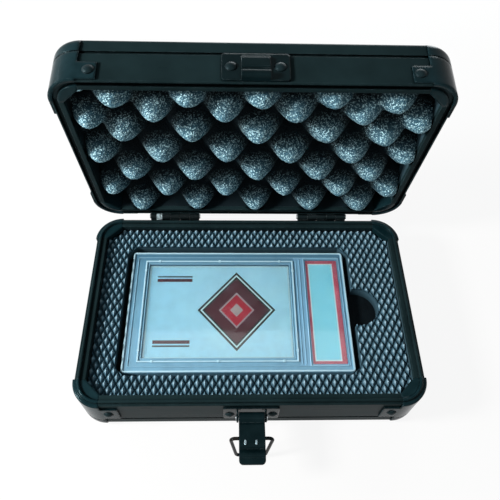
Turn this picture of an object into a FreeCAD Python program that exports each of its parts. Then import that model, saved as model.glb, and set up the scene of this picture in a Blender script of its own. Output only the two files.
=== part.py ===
import FreeCAD
import Part
import math
import os
from FreeCAD import Vector

# Graded card storage box: an aluminium-framed case with cut foam, a hinged lid and a draw latch.
# Millimetres. X runs along the case, Y from the latch to the hinges, and Z up. The origin is under the
# middle of the base, on the plane that the corner castings stand on. The lid and the latch are drawn open.

# The case as a whole: its length and depth follow from the slab, the foam round it and the rim
base_height = 32.0
lid_height = 26.6
rim_gap = 0.3
open_angle = 82.0

# Fits and cuts
overrun = 2.0
fit_clear = 0.1
joint_clear = 0.05
foam_clear = 0.3
running_clear = 0.05

# Frame rails: an extruded wall with a rim flange, a ledge for the panel and a seam line outside
rail_wall = 1.6
rail_round = 3.0
rim_width = 6.0
rim_thick = 2.6
rim_ease = 0.5
ledge_width = 9.0
ledge_thick = 0.8
haunch = 3.0
seam_inset = 8.3
seam_width = 1.7
seam_depth = 0.9
panel_thick = 2.5

# The base rim's bead, which enters a groove in the lid's rim
bead_inset = 1.4
bead_width = 1.8
bead_height = 1.5
bead_root = 0.5
bead_clear = 0.35

# Corner castings, which stand proud of the rails and overlap them with riveted tabs
corner_radius = 15.0
cap_proud = 1.0
cap_drop = 0.25
cap_round = 5.0
crease_width = 0.8
crease_depth = 0.4
tab_length = 9.2
base_tab_top = 4.5
base_tab_bottom = 19.5
base_tab_rivet = 12.0
base_tab_setback = 3.5
lid_tab_top = 0.6
lid_tab_bottom = 10.6
lid_tab_rivet = 6.0
lid_tab_setback = 5.5

# Domed rivets
rivet_head_radius = 2.9
rivet_head_height = 1.4
rivet_shank_radius = 1.5

# Base foam: a pad under an insert with the slab cut-out and a finger notch
foam_drop = 3.0
insert_thick = 10.0
foam_left = 13.65
foam_right = 27.25
foam_side = 12.3
recess_end_clear = 2.95
recess_side_clear = 2.7
recess_chamfer = 5.5
notch_radius = 12.5
notch_reach = 2.5

# Egg-crate foam in the lid: rounded cones on a staggered lattice
egg_pitch = 36.0
egg_start_x = -14.4
egg_start_y = -2.1
egg_floor = 6.0
egg_peak_reach = 2.3
egg_base_radius = 12.5
egg_tip_radius = 6.2

# Hinges
hinge_setback = 33.1
hinge_width = 31.6
knuckle_count = 5
knuckle_radius = 2.5
knuckle_clear = 0.3
knuckle_gap = 0.15
leaf_thick = 1.2
leaf_height = 18.0
leaf_rivet_spacing = 18.0
leaf_rivet_height = 11.5
hinge_pin_radius = 1.0
hinge_pin_head_radius = 1.6
hinge_pin_head = 0.7
heel_length = 5.2
heel_thick = 2.0
heel_gap = 0.05

# Latch plate on the base, with two ears for the lever's pin
plate_thick = 1.2
latch_plate_length = 31.0
latch_plate_top = 2.5
latch_plate_bottom = 19.5
latch_plate_round = 1.5
latch_rivet_spacing = 24.0
latch_rivet_depth = 12.5
ear_thick = 1.0
ear_radius = 2.5
pivot_reach = 5.0
pivot_depth = 6.0
latch_pin_radius = 1.2
latch_pin_head_radius = 1.8
latch_pin_head = 0.5

# Lever, drawn level: a sheet rolled over its pin, with a crowned face and a bent finger end, and two cheeks
lever_width = 14.0
lever_side_clear = 0.2
lever_sheet = 1.1
lever_heel = 2.4
lever_roll_edge = 2.6
lever_roll_top = 3.5
lever_crease_low = 2.1
lever_near_crease = 3.3
lever_face_start = 4.4
lever_face_edge = 2.9
lever_face_top = 3.6
lever_face_end = 15.8
lever_far_crease = 17.0
lever_finger_start = 18.4
lever_finger_edge = 3.3
lever_finger_top = 3.9
lever_finger_turn = 21.6
lever_length = 25.0
lever_tip_top = 3.0
lever_cheek_top = 1.95
lever_cheek_drop = 2.6
lever_cheek_length = 14.0
lever_end_round = 2.2
bail_pivot_along = 10.8
bail_pivot_drop = 0.8

# Bail: a wire loop, drawn hanging from the lever
wire_radius = 0.95
bail_top_width = 23.2
bail_bottom_width = 16.4
bail_bend = 2.4
bail_stub_inset = 1.6
bail_hang_angle = 81.5

# Catch plate on the lid, with the hook that the bail pulls on
catch_plate_length = 32.0
catch_plate_top = 16.6
catch_plate_bottom = 0.6
catch_rivet_spacing = 23.0
catch_rivet_depth = 8.6
hook_width = 13.6
hook_start = 15.2
hook_shoulder = 12.8
hook_rise = 2.8
slot_start = 7.2
slot_chamfer = 0.6
slot_floor = 1.9
lip_top = 3.9
lip_reach = 4.4
lip_round = 1.6
lip_bottom = 0.6
bar_reach = 3.2
bar_depth = 5.5

# Card slab: two clear shells round a card and a label
slab_length = 135.6
slab_width = 81.6
slab_thick = 6.0
slab_round = 2.0
slab_rim_width = 3.4
slab_rim_step = 0.8
slab_window_margin = 3.0
slab_rib_width = 1.4
card_length = 88.9
card_width = 63.5
card_thick = 0.5
card_shift = -12.0
label_length = 20.6
label_width = 71.6
label_thick = 0.3
label_shift = 53.6
well_clear = 0.3

# Sizes and places worked out from the sizes above
recess_length = slab_length + 2 * recess_end_clear
recess_width = slab_width + 2 * recess_side_clear
recess_shift = (foam_left - foam_right) / 2
foam_inset = rim_width + foam_clear
case_length = foam_left + recess_length + foam_right + 2 * foam_inset
case_depth = recess_width + 2 * foam_side + 2 * foam_inset
hinge_spacing = case_length - 2 * hinge_setback - hinge_width
front = -case_depth / 2
rear = case_depth / 2
corner_x = case_length / 2 - corner_radius
corner_y = case_depth / 2 - corner_radius
corner_chord = corner_radius - rim_width
bead_end = bead_inset + bead_width
groove_start = bead_inset - bead_clear
groove_end = bead_end + bead_clear
groove_depth = bead_height - rim_gap + bead_clear
hinge_y = rear + knuckle_radius + knuckle_clear
hinge_z = base_height + rim_gap / 2
half_turn = 180.0
quarter_turn = 90.0

# The share of an arc's radius that its middle stands off its square corner
arc_middle_share = 1 - math.sqrt(0.5)
# The share of an inset by which a 45 degree corner cut shortens
corner_cut_share = 2 - math.sqrt(2)


class Half:
    """One half of the case: its rim plane, the way its depth runs, and its corner tabs."""

    def __init__(self, name, rim, way, depth, beaded, tab):
        self.name = name
        self.rim = rim
        self.way = way
        self.depth = depth
        self.beaded = beaded
        self.tab_top, self.tab_bottom, self.tab_rivet, self.tab_setback = tab
        self.rail_height = depth - cap_drop
        self.panel_outside = self.rail_height - ledge_thick
        self.panel_inside = self.panel_outside - panel_thick

    def z(self, depth):
        """Height of a plane that lies this far from the half's rim."""
        return self.rim + self.way * depth


base_tab = (base_tab_top, base_tab_bottom, base_tab_rivet, base_tab_setback)
lid_tab = (lid_tab_top, lid_tab_bottom, lid_tab_rivet, lid_tab_setback)
base = Half("base", base_height, -1, base_height, True, base_tab)
lid = Half("lid", base_height + rim_gap, 1, lid_height, False, lid_tab)


# Shape helpers

def face_of(path, place):
    """Face inside a closed path: a point ends a line, and a pair of points is an arc's middle and end."""
    start = place(*path[0])
    here = start
    edges = []
    for step in path[1:]:
        if isinstance(step[0], tuple):
            end = place(*step[1])
            edges.append(Part.Arc(here, place(*step[0]), end).toShape())
        else:
            end = place(*step)
            edges.append(Part.LineSegment(here, end).toShape())
        here = end
    if here != start:
        edges.append(Part.LineSegment(here, start).toShape())
    return Part.Face(Part.Wire(edges))


def block(low, high):
    """Box between two opposite corners, given in any order."""
    corner = Vector(*[min(a, b) for a, b in zip(low, high)])
    size = [abs(a - b) for a, b in zip(low, high)]
    return Part.makeBox(size[0], size[1], size[2], corner)


def prism(outline, low, high):
    """Upright prism on a list of XY points or arcs."""
    return face_of(outline, lambda x, y: Vector(x, y, low)).extrude(Vector(0, 0, high - low))


def rod_x(radius, x_start, x_end, y, z):
    """Round rod along X."""
    return Part.makeCylinder(radius, x_end - x_start, Vector(x_start, y, z), Vector(1, 0, 0))


def across(path, half_width, place):
    """Solid of a side profile, as wide as stated and centred on X = 0."""
    face = face_of(path, lambda a, b: place(-half_width, a, b))
    return face.extrude(Vector(2 * half_width, 0, 0))


def mirrored(shape, right, back):
    """A piece of the right rear corner, moved to the stated corner."""
    if not right:
        shape = shape.mirror(Vector(0, 0, 0), Vector(1, 0, 0))
    if not back:
        shape = shape.mirror(Vector(0, 0, 0), Vector(0, 1, 0))
    return shape


def octagon(inset):
    """The inside of the frame between its corner castings, drawn in by an inset."""
    x = case_length / 2 - rim_width - inset
    y = case_depth / 2 - rim_width - inset
    cut = corner_chord - inset * corner_cut_share
    return chamfered(-x, x, -y, y, cut)


def chamfered(left, right, near, far, cut):
    """Rectangle with 45 degree corners."""
    return [
        (left + cut, near),
        (right - cut, near),
        (right, near + cut),
        (right, far - cut),
        (right - cut, far),
        (left + cut, far),
        (left, far - cut),
        (left, near + cut),
    ]


def rounded(left, right, near, far, radius):
    """Rectangle with round corners."""
    off = radius * arc_middle_share
    return [
        (left + radius, near),
        (right - radius, near),
        ((right - off, near + off), (right, near + radius)),
        (right, far - radius),
        ((right - off, far - off), (right - radius, far)),
        (left + radius, far),
        ((left + off, far - off), (left, far - radius)),
        (left, near + radius),
        ((left + off, near + off), (left + radius, near)),
    ]


# Rivets

class Rivet:
    """A domed rivet: the point on the rail's face, the way out, and the thickness held under its head."""

    def __init__(self, point, outward, held):
        self.point = Vector(*point)
        self.outward = Vector(*outward)
        self.held = held

    def solid(self):
        """Dome and shank in place."""
        sphere = (rivet_head_radius ** 2 + rivet_head_height ** 2) / (2 * rivet_head_height)
        middle_angle = math.asin(rivet_head_radius / sphere) / 2
        middle_x = sphere * math.sin(middle_angle)
        middle_z = rivet_head_height - sphere * (1 - math.cos(middle_angle))
        grip = self.held + rail_wall
        path = [
            (0, -grip),
            (rivet_shank_radius, -grip),
            (rivet_shank_radius, 0),
            (rivet_head_radius, 0),
            ((middle_x, middle_z), (0, rivet_head_height)),
        ]
        face = face_of(path, lambda r, h: Vector(r, 0, h))
        turned = face.revolve(Vector(0, 0, 0), Vector(0, 0, 1), 2 * half_turn)
        seat = self.point + self.outward * self.held
        turned.Placement = FreeCAD.Placement(seat, FreeCAD.Rotation(Vector(0, 0, 1), self.outward))
        return turned

    def hole(self):
        """The drilled hole, past both faces."""
        start = self.point - self.outward * (rail_wall + overrun)
        length = self.held + rail_wall + 2 * overrun
        return Part.makeCylinder(rivet_shank_radius + joint_clear, length, start, self.outward)


def drilled(shape, rivets):
    """A piece with the holes of its rivets."""
    return shape.cut([r.hole() for r in rivets])


def tab_rivets(half, right, back):
    """The two rivets of one corner casting."""
    x_way = 1 if right else -1
    y_way = 1 if back else -1
    z = half.z(half.tab_rivet)
    on_long = (x_way * (corner_x - half.tab_setback), y_way * rear, z)
    on_short = (x_way * case_length / 2, y_way * (corner_y - half.tab_setback), z)
    return [Rivet(on_long, (0, y_way, 0), cap_proud), Rivet(on_short, (x_way, 0, 0), cap_proud)]


def corner_rivets(half):
    """All eight rivets of a half's corner castings."""
    rivets = []
    for right in (False, True):
        for back in (False, True):
            rivets += tab_rivets(half, right, back)
    return rivets


def hinge_rivets(half, side):
    """The rivets of one hinge leaf."""
    z = hinge_z + half.way * leaf_rivet_height
    middle = side * hinge_spacing / 2
    spots = [middle - leaf_rivet_spacing / 2, middle + leaf_rivet_spacing / 2]
    return [Rivet((x, rear, z), (0, 1, 0), leaf_thick) for x in spots]


def front_rivets(half, spacing, depth):
    """The rivets of the latch plate or the catch plate."""
    spots = [-spacing / 2, spacing / 2]
    return [Rivet((x, front, half.z(depth)), (0, -1, 0), plate_thick) for x in spots]


latch_rivets = front_rivets(base, latch_rivet_spacing, latch_rivet_depth)
catch_rivets = front_rivets(lid, catch_rivet_spacing, catch_rivet_depth)


# Frame rails and corner castings

def rail_path(half):
    """Rail section, as distance in from the outer face and depth from the rim."""
    deep = half.rail_height
    off = rail_round * arc_middle_share
    if half.beaded:
        crest = bead_width / 2 - bead_height
        rim = [
            (bead_inset, 0),
            (bead_inset, crest),
            ((bead_inset + bead_width / 2, -bead_height), (bead_end, crest)),
            (bead_end, 0),
        ]
    else:
        rim = [(groove_start, 0), (groove_start, groove_depth), (groove_end, groove_depth), (groove_end, 0)]
    return [(rim_ease, 0)] + rim + [
        (rim_width, 0),
        (rim_width, rim_thick),
        (rail_wall, rim_thick),
        (rail_wall, deep - haunch),
        (rail_wall + haunch - ledge_thick, deep - ledge_thick),
        (ledge_width, deep - ledge_thick),
        (ledge_width, deep),
        (rail_round, deep),
        ((off, deep - off), (0, deep - rail_round)),
        (0, deep - seam_inset),
        (seam_depth, deep - seam_inset),
        (seam_depth, deep - seam_inset - seam_width),
        (0, deep - seam_inset - seam_width),
        (0, rim_ease),
    ]


def long_rail(half, way):
    """Front rail (way -1) or rear rail (way 1)."""
    reach = corner_x - joint_clear
    face = face_of(rail_path(half), lambda o, h: Vector(-reach, way * (rear - o), half.z(h)))
    return face.extrude(Vector(2 * reach, 0, 0))


def short_rail(half, way):
    """Left rail (way -1) or right rail (way 1)."""
    reach = corner_y - joint_clear
    face = face_of(rail_path(half), lambda o, h: Vector(way * (case_length / 2 - o), -reach, half.z(h)))
    return face.extrude(Vector(0, 2 * reach, 0))


def swept_ring(half, path):
    """A quarter turn of a section about the right rear corner's centre."""
    face = face_of(path, lambda r, h: Vector(corner_x + r, corner_y, half.z(h)))
    return face.revolve(Vector(corner_x, corner_y, 0), Vector(0, 0, 1), quarter_turn)


def corner_casting(half):
    """The right rear corner casting, before its rivet holes."""
    outer = corner_radius + cap_proud
    off = cap_round * arc_middle_share
    crease_end = half.rail_height - seam_inset - (seam_width - crease_width) / 2
    crease_start = crease_end - crease_width
    casting = swept_ring(half, [
        (0, 0),
        (outer - rim_ease, 0),
        (outer, rim_ease),
        (outer, crease_start),
        (outer - crease_depth, crease_start),
        (outer - crease_depth, crease_end),
        (outer, crease_end),
        (outer, half.depth - cap_round),
        ((outer - off, half.depth - off), (outer - cap_round, half.depth)),
        (0, half.depth),
    ])
    reach = corner_chord + overrun
    inside = prism(
        [
            (corner_x - overrun, corner_y - overrun),
            (corner_x + reach, corner_y - overrun),
            (corner_x - overrun, corner_y + reach),
        ],
        min(half.z(-overrun), half.z(half.depth + overrun)),
        max(half.z(-overrun), half.z(half.depth + overrun)),
    )
    casting = casting.cut(inside)
    outer_bead = corner_radius - bead_inset
    if half.beaded:
        crest = bead_width / 2 - bead_height
        casting = casting.fuse(swept_ring(half, [
            (outer_bead - bead_width, bead_root),
            (outer_bead, bead_root),
            (outer_bead, crest),
            ((outer_bead - bead_width / 2, -bead_height), (outer_bead - bead_width, crest)),
        ]))
    else:
        casting = casting.cut(swept_ring(half, [
            (corner_radius - groove_end, -overrun),
            (corner_radius - groove_start, -overrun),
            (corner_radius - groove_start, groove_depth),
            (corner_radius - groove_end, groove_depth),
        ]))
    top = half.z(half.tab_top)
    bottom = half.z(half.tab_bottom)
    long_tab = block((corner_x - tab_length, rear, top), (corner_x, rear + cap_proud, bottom))
    side = case_length / 2
    short_tab = block((side, corner_y - tab_length, top), (side + cap_proud, corner_y, bottom))
    return casting.fuse([long_tab, short_tab]).removeSplitter()


def wall_boards(half):
    """Four boards that fill the frame behind its rim flange."""
    near = rail_wall + fit_clear
    far = rim_width - fit_clear
    top = half.z(rim_thick + fit_clear)
    bottom = half.z(half.rail_height - haunch - fit_clear)
    long_reach = corner_x - fit_clear
    short_reach = corner_y - fit_clear
    boards = []
    for way in (-1, 1):
        y = way * rear
        boards.append(block((-long_reach, y - way * near, top), (long_reach, y - way * far, bottom)))
        x = way * case_length / 2
        boards.append(block((x - way * near, -short_reach, top), (x - way * far, short_reach, bottom)))
    return Part.makeCompound(boards)


def panel(half):
    """Floor or lid panel, on the rails' ledges."""
    planes = sorted([half.z(half.panel_inside), half.z(half.panel_outside)])
    return prism(octagon(fit_clear), planes[0], planes[1])


# Foam

foam_top = base_height - foam_drop
slab_floor = foam_top - insert_thick
recess_left = recess_shift - recess_length / 2
recess_right = recess_shift + recess_length / 2


def foam_insert():
    """Upper foam layer with the slab cut-out and the finger notch."""
    layer = prism(octagon(foam_clear), slab_floor, foam_top)
    half_width = recess_width / 2
    outline = chamfered(recess_left, recess_right, -half_width, half_width, recess_chamfer)
    recess = prism(outline, slab_floor - overrun, foam_top + overrun)
    deep = insert_thick + 2 * overrun
    notch_foot = Vector(recess_right + notch_reach, 0, slab_floor - overrun)
    notch = Part.makeCylinder(notch_radius, deep, notch_foot)
    return layer.cut([recess, notch])


def egg_cone(x, y, floor_depth, rise):
    """One rounded cone of the egg-crate foam, pointing at the rim."""
    centre = rise - egg_tip_radius
    slant = math.hypot(egg_base_radius, centre)
    touch = math.atan2(-centre, egg_base_radius) + math.acos(egg_tip_radius / slant)
    middle = (touch + math.pi / 2) / 2
    path = [
        (0, 0),
        (egg_base_radius, 0),
        (egg_tip_radius * math.cos(touch), centre + egg_tip_radius * math.sin(touch)),
        ((egg_tip_radius * math.cos(middle), centre + egg_tip_radius * math.sin(middle)), (0, rise)),
    ]
    face = face_of(path, lambda r, h: Vector(x + r, y, lid.z(floor_depth - h)))
    return face.revolve(Vector(x, y, 0), Vector(0, 0, 1), 2 * half_turn)


def egg_crate():
    """Egg-crate foam that fills the lid: a plate and its cones, cut to the frame."""
    back = lid.panel_inside
    floor_depth = back - egg_floor
    rise = floor_depth + egg_peak_reach
    plate = prism(octagon(foam_clear), lid.z(floor_depth), lid.z(back))
    rows = math.ceil(case_depth / egg_pitch) + 1
    columns = math.ceil(case_length / egg_pitch) + 1
    cones = []
    for row in range(-rows, rows + 1):
        y = egg_start_y + row * egg_pitch / 2
        for column in range(-columns, columns + 1):
            x = egg_start_x + (column + (row % 2) / 2) * egg_pitch
            near_x = abs(x) < case_length / 2 - rim_width + egg_base_radius
            near_y = abs(y) < case_depth / 2 - rim_width + egg_base_radius
            if near_x and near_y:
                cones.append(egg_cone(x, y, floor_depth, rise))
    bounds = prism(octagon(foam_clear), lid.z(-egg_peak_reach - overrun), lid.z(back))
    return plate.fuse(cones).common(bounds).removeSplitter()


# Hinges

knuckle_length = hinge_width / knuckle_count


def hinge_leaf(half, side):
    """Leaf on the rear rail. The base leaf has the odd knuckles, and the lid leaf the even ones."""
    left = side * hinge_spacing / 2 - hinge_width / 2
    own = 0 if half.beaded else 1
    sheet_end = hinge_z + half.way * leaf_height
    leaf = block((left, rear, hinge_z), (left + hinge_width, rear + leaf_thick, sheet_end))
    clear_end = hinge_z + half.way * (knuckle_radius + knuckle_clear)
    barrels = []
    notches = []
    for index in range(knuckle_count):
        start = left + index * knuckle_length
        end = start + knuckle_length
        if index % 2 == own:
            inner_start = start + (knuckle_gap / 2 if index > 0 else 0)
            inner_end = end - (knuckle_gap / 2 if index < knuckle_count - 1 else 0)
            barrels.append(rod_x(knuckle_radius, inner_start, inner_end, hinge_y, hinge_z))
            if not half.beaded:
                barrels.append(stop_heel(inner_start, inner_end))
        else:
            low = (start - knuckle_gap / 2, rear - overrun, hinge_z - half.way * overrun)
            high = (end + knuckle_gap / 2, rear + leaf_thick + overrun, clear_end)
            notches.append(block(low, high))
    leaf = leaf.cut(notches).fuse(barrels).removeSplitter()
    bore_radius = hinge_pin_radius + running_clear
    bore = rod_x(bore_radius, left - overrun, left + hinge_width + overrun, hinge_y, hinge_z)
    return drilled(leaf.cut(bore), hinge_rivets(half, side))


def stop_heel(x_start, x_end):
    """Heel that meets the base leaf when the lid is fully open, turned to the closed lid."""
    face = rear + leaf_thick + heel_gap
    heel = block((x_start, face, hinge_z), (x_end, face + heel_thick, hinge_z - heel_length))
    heel.rotate(Vector(0, hinge_y, hinge_z), Vector(1, 0, 0), open_angle)
    return heel


def headed_pin(radius, head_radius, head, middle, half_length):
    """Pin along X about its middle point, with a head outside each end."""
    start = middle.x - half_length
    end = middle.x + half_length
    shank = rod_x(radius, start, end, middle.y, middle.z)
    left_head = rod_x(head_radius, start - head, start, middle.y, middle.z)
    right_head = rod_x(head_radius, end, end + head, middle.y, middle.z)
    return shank.fuse([left_head, right_head]).removeSplitter()


def hinge_pin(side):
    """Pin of one hinge."""
    middle = Vector(side * hinge_spacing / 2, hinge_y, hinge_z)
    half_length = hinge_width / 2 + joint_clear
    return headed_pin(hinge_pin_radius, hinge_pin_head_radius, hinge_pin_head, middle, half_length)


# Draw latch

pivot_y = front - pivot_reach
pivot_z = base_height - pivot_depth
ear_inside = lever_width / 2 + lever_side_clear
ear_outside = ear_inside + ear_thick


def front_plate(half, length, near_depth, far_depth):
    """Flat plate on the front rail, with round corners."""
    planes = sorted([half.z(near_depth), half.z(far_depth)])
    outline = rounded(-length / 2, length / 2, planes[0], planes[1], latch_plate_round)
    face = face_of(outline, lambda x, z: Vector(x, front, z))
    return face.extrude(Vector(0, -plate_thick, 0))


def latch_plate():
    """Base plate of the latch with its two ears."""
    plate = front_plate(base, latch_plate_length, latch_plate_top, latch_plate_bottom)
    root = front - plate_thick / 2
    ears = []
    for way in (-1, 1):
        start = min(way * ear_inside, way * ear_outside)
        web = block((start, root, pivot_z - ear_radius), (start + ear_thick, pivot_y, pivot_z + ear_radius))
        ears.append(web.fuse(rod_x(ear_radius, start, start + ear_thick, pivot_y, pivot_z)))
    bore_radius = latch_pin_radius + running_clear
    bore = rod_x(bore_radius, -latch_plate_length, latch_plate_length, pivot_y, pivot_z)
    return drilled(plate.fuse(ears).removeSplitter().cut(bore), latch_rivets)


def latch_pin():
    """Pin through the ears and the lever."""
    middle = Vector(0, pivot_y, pivot_z)
    half_length = ear_outside + joint_clear
    return headed_pin(latch_pin_radius, latch_pin_head_radius, latch_pin_head, middle, half_length)


def at_lever(x, along, rise):
    """A point on the lever: along it from its pin, and above its pin."""
    return Vector(x, pivot_y - along, pivot_z + rise)


def latch_lever():
    """Lever: a roll over the pin, a crowned face and a finger end, parted by creases, with two cheeks."""
    half_width = lever_width / 2
    face_middle = (lever_face_start + lever_face_end) / 2
    finger_middle = (lever_finger_start + lever_finger_turn) / 2
    sheet = across(
        [
            (-lever_heel, lever_roll_edge),
            ((0, lever_roll_top), (lever_heel, lever_roll_edge)),
            (lever_near_crease, lever_crease_low),
            (lever_face_start, lever_face_edge),
            ((face_middle, lever_face_top), (lever_face_end, lever_face_edge)),
            (lever_far_crease, lever_crease_low),
            (lever_finger_start, lever_finger_edge),
            ((finger_middle, lever_finger_top), (lever_finger_turn, lever_finger_edge)),
            (lever_length, lever_tip_top),
            (lever_length, lever_tip_top - lever_sheet),
            (lever_finger_turn, lever_finger_edge - lever_sheet),
            (lever_finger_start, lever_finger_edge - lever_sheet),
            (lever_far_crease, lever_crease_low - lever_sheet),
            (lever_face_end, lever_face_edge - lever_sheet),
            (lever_face_start, lever_face_edge - lever_sheet),
            (lever_near_crease, lever_crease_low - lever_sheet),
            (lever_heel, lever_roll_edge - lever_sheet),
            (-lever_heel, lever_roll_edge - lever_sheet),
        ],
        half_width,
        at_lever,
    )
    tip_y = pivot_y - lever_length
    trim = rounded(-half_width, half_width, tip_y, pivot_y + lever_heel + lever_end_round, lever_end_round)
    sheet = sheet.common(prism(trim, pivot_z - lever_length, pivot_z + lever_length))
    cheeks = []
    for way in (-1, 1):
        x = min(way * half_width, way * (half_width - lever_sheet))
        face = face_of(
            [
                (-lever_heel, lever_cheek_top),
                (-lever_heel, -lever_cheek_drop),
                (lever_cheek_length - lever_cheek_drop, -lever_cheek_drop),
                (lever_cheek_length, lever_cheek_top),
            ],
            lambda along, rise, side=x: at_lever(side, along, rise),
        )
        cheeks.append(face.extrude(Vector(lever_sheet, 0, 0)))
    lever = sheet.fuse(cheeks).removeSplitter()
    pin_bore = rod_x(latch_pin_radius + running_clear, -lever_width, lever_width, pivot_y, pivot_z)
    hang = at_lever(0, bail_pivot_along, -bail_pivot_drop)
    bail_bore = rod_x(wire_radius + running_clear, -lever_width, lever_width, hang.y, hang.z)
    return lever.cut([pin_bore, bail_bore])


def at_lid_front(x, reach, depth):
    """A point on the closed lid's front: out from the rail's face, and in depth from the lid's rim."""
    return Vector(x, front - reach, lid.z(depth))


def hooked_bail():
    """The way from the bail's pivot to its bar when the closed lever holds the bar in the hook."""
    pivot = Vector(0, pivot_y + bail_pivot_drop, pivot_z - bail_pivot_along)
    return at_lid_front(0, bar_reach, bar_depth) - pivot


def bend_path(points, radius):
    """Points of an open path: each inner corner becomes a round bend's start, middle and end."""
    steps = [points[0]]
    for before, here, after in zip(points, points[1:], points[2:]):
        into = (before - here).normalize()
        out = (after - here).normalize()
        opening = into.getAngle(out)
        tangent = radius / math.tan(opening / 2)
        middle = (into + out).normalize()
        steps.append(here + into * tangent)
        steps.append(here + middle * (radius / math.sin(opening / 2) - radius))
        steps.append(here + out * tangent)
    steps.append(points[-1])
    return steps


def latch_bail():
    """Wire loop that hangs from the lever by two inward stubs."""
    hang = at_lever(0, bail_pivot_along, -bail_pivot_drop)
    angle = math.radians(bail_hang_angle)
    reach = hooked_bail().Length

    def on_bail(x, along):
        return hang + Vector(x, -along * math.cos(angle), -along * math.sin(angle))

    stub = lever_width / 2 - lever_sheet - bail_stub_inset / 2
    top = bail_top_width / 2
    bottom = bail_bottom_width / 2
    corners = [(-stub, 0), (-top, 0), (-bottom, reach), (bottom, reach), (top, 0), (stub, 0)]
    steps = bend_path([on_bail(*corner) for corner in corners], bail_bend)
    edges = []
    for start in range(0, len(steps) - 1, 3):
        edges.append(Part.LineSegment(steps[start], steps[start + 1]).toShape())
        if start + 3 < len(steps):
            edges.append(Part.Arc(steps[start + 1], steps[start + 2], steps[start + 3]).toShape())
    spine = Part.Wire(edges)
    circle = Part.Wire(Part.Circle(steps[0], Vector(1, 0, 0), wire_radius).toShape())
    return spine.makePipeShell([circle], True, False)


def catch_plate():
    """Plate on the lid with the pressed hook."""
    plate = front_plate(lid, catch_plate_length, catch_plate_bottom, catch_plate_top)
    root = plate_thick / 2
    off = lip_round * arc_middle_share
    hook = across(
        [
            (root, hook_start),
            (plate_thick, hook_start),
            (hook_rise, hook_shoulder),
            (hook_rise, slot_start + slot_chamfer),
            (hook_rise - slot_chamfer, slot_start),
            (slot_floor, slot_start),
            (slot_floor, lip_top),
            (lip_reach, lip_top),
            (lip_reach, lip_bottom + lip_round),
            ((lip_reach - off, lip_bottom + off), (lip_reach - lip_round, lip_bottom)),
            (root, lip_bottom),
        ],
        hook_width / 2,
        at_lid_front,
    )
    return drilled(plate.fuse(hook).removeSplitter(), catch_rivets)


# Card slab

slab_x = recess_shift
slab_middle = slab_floor + slab_thick / 2
slab_top = slab_floor + slab_thick


def slab_outline(inset):
    """The slab's plan, drawn in by an inset."""
    x = slab_length / 2 - inset
    y = slab_width / 2 - inset
    return rounded(slab_x - x, slab_x + x, -y, y, slab_round)


def well(shift, length, width, depth):
    """Pocket in the rear shell for the card or the label."""
    x = length / 2 + well_clear
    y = width / 2 + well_clear
    middle = slab_x + shift
    return block((middle - x, -y, slab_middle - depth), (middle + x, y, slab_middle + overrun))


def slab_rear_shell():
    """Lower shell, with a well each for the card and the label."""
    shell = prism(slab_outline(0), slab_floor, slab_middle)
    card_well = well(card_shift, card_length, card_width, card_thick)
    label_well = well(label_shift, label_length, label_width, label_thick)
    return shell.cut([card_well, label_well])


def slab_front_shell():
    """Upper shell: a raised rim round its face, and a raised rib round the card's window."""
    shell = prism(slab_outline(0), slab_middle, slab_top)
    sunk = prism(slab_outline(slab_rim_width), slab_top - slab_rim_step, slab_top + overrun)
    shell = shell.cut(sunk)
    x = card_length / 2 + slab_window_margin
    y = card_width / 2 + slab_window_margin
    middle = slab_x + card_shift
    frame = rounded(middle - x, middle + x, -y, y, slab_round)
    x -= slab_rib_width
    y -= slab_rib_width
    window = rounded(middle - x, middle + x, -y, y, slab_round)
    rib = prism(frame, slab_top - slab_rim_step, slab_top)
    rib = rib.cut(prism(window, slab_top - overrun, slab_top + overrun))
    return shell.fuse(rib).removeSplitter()


def slab_sheet(shift, length, width, thick):
    """The card or the label in its well, flush with the shell's parting face."""
    middle = slab_x + shift
    low = (middle - length / 2, -width / 2, slab_middle - thick)
    return block(low, (middle + length / 2, width / 2, slab_middle))


# The assembly

def frame_nodes(half):
    """Rails, corner castings, boards, panel and corner rivets of one half."""
    tabs = corner_rivets(half)
    leaf_rivets = hinge_rivets(half, -1) + hinge_rivets(half, 1)
    front_set = latch_rivets if half.beaded else catch_rivets
    nodes = {
        "front_rail": drilled(long_rail(half, -1), tabs + front_set),
        "rear_rail": drilled(long_rail(half, 1), tabs + leaf_rivets),
        "left_rail": drilled(short_rail(half, -1), tabs),
        "right_rail": drilled(short_rail(half, 1), tabs),
        "panel": panel(half),
        "wall_boards": wall_boards(half),
        "corner_rivets": Part.makeCompound([r.solid() for r in tabs]),
        "hinge_leaf_left": hinge_leaf(half, -1),
        "hinge_leaf_right": hinge_leaf(half, 1),
        "hinge_rivets": Part.makeCompound([r.solid() for r in leaf_rivets]),
    }
    casting = corner_casting(half)
    for back in (False, True):
        for right in (False, True):
            spot = ("rear" if back else "front") + "_" + ("right" if right else "left")
            shape = mirrored(casting, right, back)
            nodes["corner_" + spot] = drilled(shape, tab_rivets(half, right, back))
    return {half.name + "_" + name: shape for name, shape in nodes.items()}


def base_nodes():
    """Everything that is fixed to the base."""
    nodes = frame_nodes(base)
    nodes["foam_pad"] = prism(octagon(foam_clear), base.z(base.panel_inside), slab_floor)
    nodes["foam_insert"] = foam_insert()
    nodes["hinge_pin_left"] = hinge_pin(-1)
    nodes["hinge_pin_right"] = hinge_pin(1)
    nodes["latch_plate"] = latch_plate()
    nodes["latch_plate_rivets"] = Part.makeCompound([r.solid() for r in latch_rivets])
    nodes["latch_pin"] = latch_pin()
    return nodes


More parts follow.
